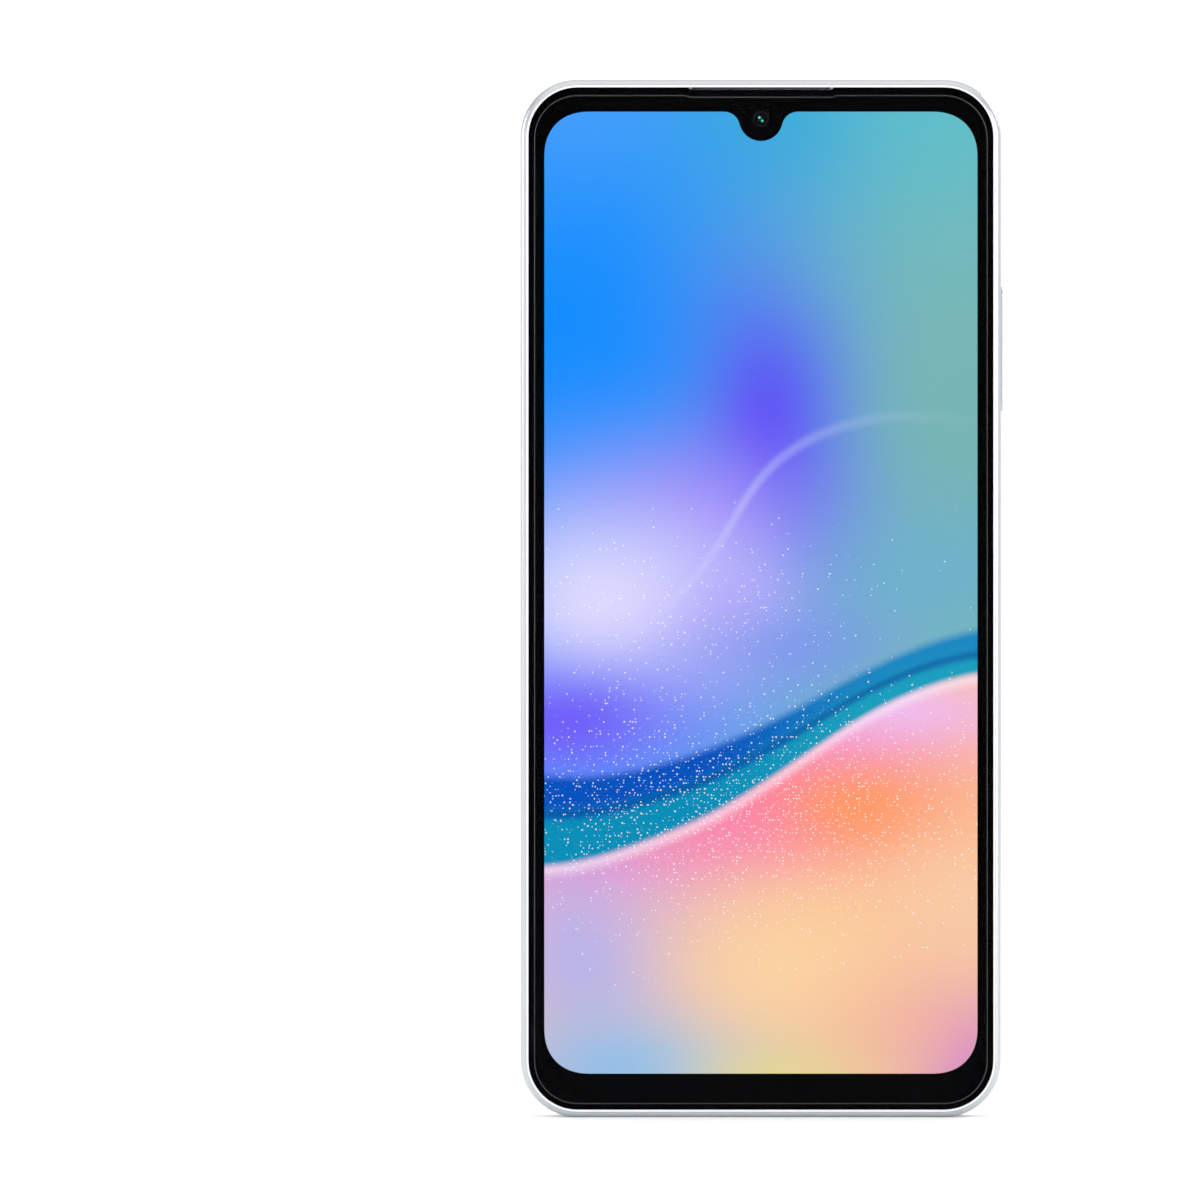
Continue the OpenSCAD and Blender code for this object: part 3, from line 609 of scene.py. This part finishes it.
diffuser = plain("diffuser", rgb(238, 240, 242), 0.55, drift=0.03)
cell = plain("display_cell", rgb(26, 28, 34), 0.25, 0.2, drift=0.1, size=4.0)
phosphor = plain("led_phosphor", rgb(250, 214, 92), 0.5, drift=0.12, size=0.5)
sensor = brushed("key_sensor", rgb(190, 194, 197), 0.3, "z", grain=0.1, depth=0.0004)
mesh_metal = woven("mesh_metal", rgb(44, 45, 48), rgb(8, 8, 9), 0.16, 0.5, 0.4)
speaker_net = woven("speaker_net", rgb(70, 72, 76), rgb(10, 10, 11), 0.2, 0.5, 0.6)
board = board_look()
foil = plain("battery_foil", rgb(44, 46, 50), 0.42, 0.3, size=12.0, grain=1.2, depth=0.05)
pearl = pearl_back()
flash_lens = flash_look()
# The lip's near-white is a painted highlight of its chamfered edge
lip_and_plate = zoned("front_frame", rgb(246, 249, 251), rgb(150, 153, 157), "y", LIP_FOOT,
                      0.26, 0.0, 0.9)
door_and_tray = zoned("sim_tray", rgb(196, 200, 203), rgb(52, 54, 57), "x", DOOR_FOOT,
                      0.36, 1.0, 0.0)

NODE_LOOKS = {
    "side_frame": silver, "front_frame": lip_and_plate, "cover_glass": screen_glass,
    "glass_tape": black_tape, "display_panel": cell, "backlight": diffuser, "display_flex": flex,
    "earpiece_mesh": mesh_metal, "earpiece": black_plastic, "front_camera": black_plastic,
    "back_cover": pearl, "cover_tape": black_tape, "camera_glass_top": lens_glass,
    "camera_glass_middle": lens_glass, "camera_glass_bottom": lens_glass,
    "wide_camera": black_plastic, "main_camera": black_plastic, "focus_lens": dark_barrel,
    "macro_camera": black_plastic, "flash_lens": flash_lens, "flash_led": phosphor,
    "camera_flexes": flex, "main_board": board, "board_shields": shield, "board_chips": chip,
    "board_connectors": connector, "sim_socket": shield, "sim_tray": door_and_tray,
    "eject_rod": steel, "eject_lever": steel, "upper_bracket": black_plastic,
    "lower_bracket": black_plastic, "battery": foil, "battery_tape": black_tape,
    "battery_board": chip, "main_flex": flex, "antenna_cable": cable, "sub_board": board,
    "usb_shell": steel, "usb_tongue": black_plastic, "headphone_jack": black_plastic,
    "bottom_microphone": shield, "top_microphone": shield, "speaker_box": black_plastic,
    "speaker_cover": black_plastic, "speaker_magnet": magnet, "speaker_diaphragm": membrane,
    "speaker_mesh": speaker_net, "motor_housing": steel, "vibration_rotor": magnet,
    "volume_key": silver, "power_key": silver, "fingerprint_sensor": sensor, "key_flex": flex,
    "screw_nuts": brass, "screws": steel,
}


for node_name, look in NODE_LOOKS.items():
    data = nodes[node_name].data
    data.materials.clear()
    data.materials.append(look.material)
    for face in data.polygons:
        face.material_index = 0


recut("side_frame", "frame_shell", silver)
recut("back_cover", "back_panel", pearl)


# ---------------------------------------------------------------- front

def lit_outline():
    """The lit area's outline, with the notch for the camera in its top edge."""
    half, low, high, radius = LIT
    steps = 16
    rise = high - NOTCH_FILLET - SELFIE_AT[1]
    out = math.sqrt((NOTCH_R + NOTCH_FILLET) ** 2 - rise ** 2)
    tilt = math.degrees(math.atan2(-rise, out))
    corners = rounded(half, low, high, radius, steps, LIT_FULLNESS)
    notch = (arc(out, high - NOTCH_FILLET, NOTCH_FILLET, 90, 180 - tilt, 12)
             + arc(*SELFIE_AT, NOTCH_R, -tilt, tilt - 180, 32)[1:-1]
             + arc(-out, high - NOTCH_FILLET, NOTCH_FILLET, tilt, 90, 12))
    return corners[:steps + 1] + notch + corners[steps + 1:]


def stepped_outline(half, low, high, radius, steps, slot, drop):
    """Round-cornered outline whose top edge steps down over the earpiece's slot, which is
    given by its half width at the top and at the bottom."""
    corners = rounded(half, low, high, radius, steps)
    down = [(slot[0], high), (slot[1], high - drop), (-slot[1], high - drop), (-slot[0], high)]
    return corners[:steps + 1] + down + corners[steps + 1:]


def line_outline(offset):
    """Fine grey line in the border along the cover glass's edge, a painted reflection of that edge.
    """
    return stepped_outline(36.63 - offset, 2.27 + offset, HEIGHT - 2.6 - offset,
                           6.93 - offset, 20, (12.1, 11.75), 0.25)


inset = 0.04
lit = lit_outline()
print_edge = stepped_outline(GLASS_X[1] - inset, GLASS_Z[0] + inset, GLASS_Z[1] - inset,
                             7.9 - inset, 24, (11.78, 11.44), 0.36 - inset)
inside = GLASS_Y[1]
sheet("display_picture", [lit], (inside - 0.03, inside - 0.02), picture_look())
sheet("border_print", [print_edge, lit, circle(*SELFIE_AT, SELFIE_HOLE)],
      (inside - 0.05, inside - 0.035), black_print)
# Painted reflection: a fine grey line along the cover glass's edge
sheet("border_line", [line_outline(-0.06), line_outline(0.06)],
      (inside - 0.065, inside - 0.055), painted_edge_reflection)
lathe("selfie_ring", [(1.02, inside - 0.07), (1.26, inside - 0.07),
                      (1.26, inside - 0.055), (1.02, inside - 0.055)],
      SELFIE_AT, dark_print, steps=64)
lathe("selfie_barrel", [(1.16, inside + 0.16), (1.16, inside + 0.5), (0.92, inside + 0.5),
                        (0.92, inside + 0.34), (1.0, inside + 0.2)],
      SELFIE_AT, black_print, steps=64)
# The front camera's lens shows painted glints
lathe("selfie_lens", [(0, inside + 0.22), (0.35, inside + 0.25), (0.65, inside + 0.33),
                      (0.91, inside + 0.46), (0.91, inside + 0.5), (0, inside + 0.5)],
      SELFIE_AT, glint_look("selfie_painted_glints", SELFIE_AT, 0.42, rgb(30, 214, 178),
                            rgb(30, 196, 178)),
      steps=64, closed=False)


# ---------------------------------------------------------------- rear cameras

# The glass's seat in a ring, the ring's limits on y, and its section as (radius, depth)
seat = BACK + 0.35
low, top = rings[0][1]
RING = [
    (4.6, low), (5.95, low), (5.95, BACK), (6.46, BACK), (RING_R, BACK + 0.06),
    (RING_R, top - 0.4), (6.52, top - 0.3), (6.45, top - 0.21), (6.36, top - 0.15),
    (6.2, top - 0.05), (6.1, top), (5.98, top), (5.9, top - 0.03),
    (5.72, top - 0.09), (5.55, top - 0.13), (5.47, top - 0.19), (5.47, seat),
    (4.6, seat),
]
# Radii of each camera's opening in the print, aperture and lens, and its two glints: their
# size as a share of the lens, and their colours
EDGE_GLINTS = (0.45, rgb(20, 26, 30), rgb(150, 156, 160))
CAMERA_SIZES = {
    "top": (1.65, 0.85, 0.75, EDGE_GLINTS),
    "middle": (2.25, 1.35, 1.3, (0.6, rgb(38, 150, 140), rgb(84, 150, 190))),
    "bottom": (1.65, 0.85, 0.75, EDGE_GLINTS),
}


def rear_camera(place, at, opening, aperture, lens_r, glints):
    """Ring, print, cone and lens of one camera. The middle lens rides on the focus lens."""
    moving = place == "middle"
    ring = lathe("ring_" + place, RING, at, ring_look("ring_look_" + place, at))
    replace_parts(ring, "camera_ring_" + place)
    lathe("camera_print_" + place, [(opening, seat + 0.02), (5.36, seat + 0.02),
                                    (5.36, seat + 0.04), (opening, seat + 0.04)],
          at, print_look("print_" + place, at, 5.4))
    lathe("camera_cone_" + place,
          [(opening + 0.1, seat - 0.01), (opening + 0.1, seat - 0.12),
           (aperture + 0.2, seat - 0.42), (aperture, seat - 0.42),
           (aperture, seat - 0.36), (aperture + 0.1, seat - 0.34),
           (opening - 0.12, seat - 0.08), (opening, seat - 0.01)],
          at, grey_barrel)
    foot = BACK - 0.77 if moving else BACK - 0.75
    rim = foot + 0.07
    dome = [(lens_r * math.cos(t), rim + 0.4 * lens_r * math.sin(t))
            for t in (0, 0.25, 0.5, 0.8, 1.1, 1.35)]
    share, *tones = glints
    # Painted glints on the lens
    glint = glint_look("painted_glints_" + place, at, lens_r * share, *tones, side=1)
    lathe("camera_lens_" + place,
          [(0, foot), (lens_r, foot)] + dome + [(0, rim + 0.4 * lens_r)],
          at, glint, body="focus_lens" if moving else BODY, steps=64,
          closed=False)


for place, z in zip(CAMERAS, CAMERA_ZS):
    rear_camera(place, (CAMERA_X, z), *CAMERA_SIZES[place])


# ---------------------------------------------------------------- flash

flash_r, chamfer = 2.15, 0.05
flash_cover = lathe("flash_cover", [(0, BACK - 0.66), (flash_r, BACK - 0.66),
                                    (flash_r, BACK - chamfer), (flash_r - chamfer, BACK),
                                    (0, BACK)],
                    FLASH_AT, flash_lens, closed=False)
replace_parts(flash_cover, "flash_lens")
lathe("flash_reflector", [(0, BACK - 1.25), (1.0, BACK - 1.25), (2.05, BACK - 0.72),
                          (2.12, BACK - 0.72), (2.12, BACK - 1.45), (0, BACK - 1.45)],
      FLASH_AT, diffuser, closed=False)
lamp_x, lamp_z = ((middle - 0.62, middle + 0.62) for middle in FLASH_AT)
blocks("flash_lamp", [(lamp_x, (BACK - 1.3, BACK - 1.02), lamp_z)], phosphor,
       0.12)


# ---------------------------------------------------------------- bottom edge

_, tongue_y, tongue_z = box_mm("usb_tongue")
CONTACTS, CONTACT_PITCH, CONTACT_W = 12, 0.5, 0.26
pads = []
for i in range(CONTACTS):
    x = (i - (CONTACTS - 1) / 2) * CONTACT_PITCH
    for surface, out in zip(tongue_y, (-0.015, 0.015)):
        depth = sorted((surface - 2 * out, surface + out))
        pads.append(((x - CONTACT_W / 2, x + CONTACT_W / 2), depth,
                     (tongue_z[0] + 0.5, tongue_z[1] - 1.2)))
blocks("usb_contacts", pads, gold, 0.01)


# ---------------------------------------------------------------- stage, light and camera

floor_mesh = bmesh.new()
spread = [floor_mesh.verts.new(corner) for corner in
          ((-5, -5, 0), (5, -5, 0), (5, 6, 0), (-5, 6, 0))]
floor_mesh.faces.new(spread)
floor_data = bpy.data.meshes.new("floor")
floor_mesh.to_mesh(floor_data)
floor_mesh.free()
floor = bpy.data.objects.new("floor", floor_data)
bpy.context.scene.collection.objects.link(floor)
floor_data.materials.append(
    plain("floor", rgb(249, 250, 251), 0.8, drift=0.01, size=40.0, grain=4.0,
          Emission_Color=(1, 1, 1, 1), Emission_Strength=0.12).material)


def studio(strength):
    """White surroundings: bright at the horizon and overhead, and softer in between, so that
    round edges show their shape."""
    world = bpy.data.worlds.new("studio")
    bpy.context.scene.world = world
    world.use_nodes = True
    tree = world.node_tree
    parts = tree.nodes.new("ShaderNodeSeparateXYZ")
    tree.links.new(tree.nodes.new("ShaderNodeTexCoord").outputs["Generated"], parts.inputs[0])
    ramp = tree.nodes.new("ShaderNodeValToRGB")
    ramp.color_ramp.interpolation = "EASE"
    stops = ((0.0, 0.78), (0.09, 0.78), (0.22, 0.4), (0.55, 0.45), (0.8, 1.0))
    while len(ramp.color_ramp.elements) < len(stops):
        ramp.color_ramp.elements.new(0.5)
    for element, (height, level) in zip(ramp.color_ramp.elements, stops):
        element.position = height
        element.color = (level, level, level, 1)
    tree.links.new(parts.outputs[2], ramp.inputs[0])
    background = tree.nodes["Background"]
    tree.links.new(ramp.outputs[0], background.inputs[0])
    background.inputs[1].default_value = strength


def lamp(name, place, aim, size, power):
    data = bpy.data.lights.new(name, "AREA")
    data.shape = "RECTANGLE"
    data.size, data.size_y = size
    data.energy = power
    made = bpy.data.objects.new(name, data)
    bpy.context.scene.collection.objects.link(made)
    made.location = place
    made.rotation_euler = (Vector(aim) - Vector(place)).to_track_quat("-Z", "Y").to_euler()


studio(1.36)
lamp("front_left", (-0.75, -0.75, 0.45), (0, 0, 0.09), (0.3, 0.6), 4)
lamp("front_right", (1.02, -0.32, 0.35), (0, 0, 0.09), (0.3, 0.6), 2.5)
lamp("rear_left", (0.75, 0.7, 0.6), (0, 0, 0.09), (0.35, 0.35), 3)
lamp("rear_right", (-1.05, 0.28, 0.4), (0, 0, 0.09), (0.3, 0.5), 2)

# Seen through a long lens: the width that the view spans at the screen, and its middle
SPAN = 0.1944
MIDDLE = (-0.02604, -0.0027, 0.08376)
LENS, SENSOR = 250, 36
camera_data = bpy.data.cameras.new("camera")
camera_data.lens = LENS
camera_data.sensor_width = SENSOR
camera_data.clip_start = 0.05
camera = bpy.data.objects.new("camera", camera_data)
bpy.context.scene.collection.objects.link(camera)
camera.location = (MIDDLE[0], MIDDLE[1] - SPAN * LENS / SENSOR, MIDDLE[2])
camera.rotation_euler = (math.pi / 2, 0, 0)
bpy.context.scene.camera = camera
bpy.context.scene.view_settings.view_transform = "Standard"
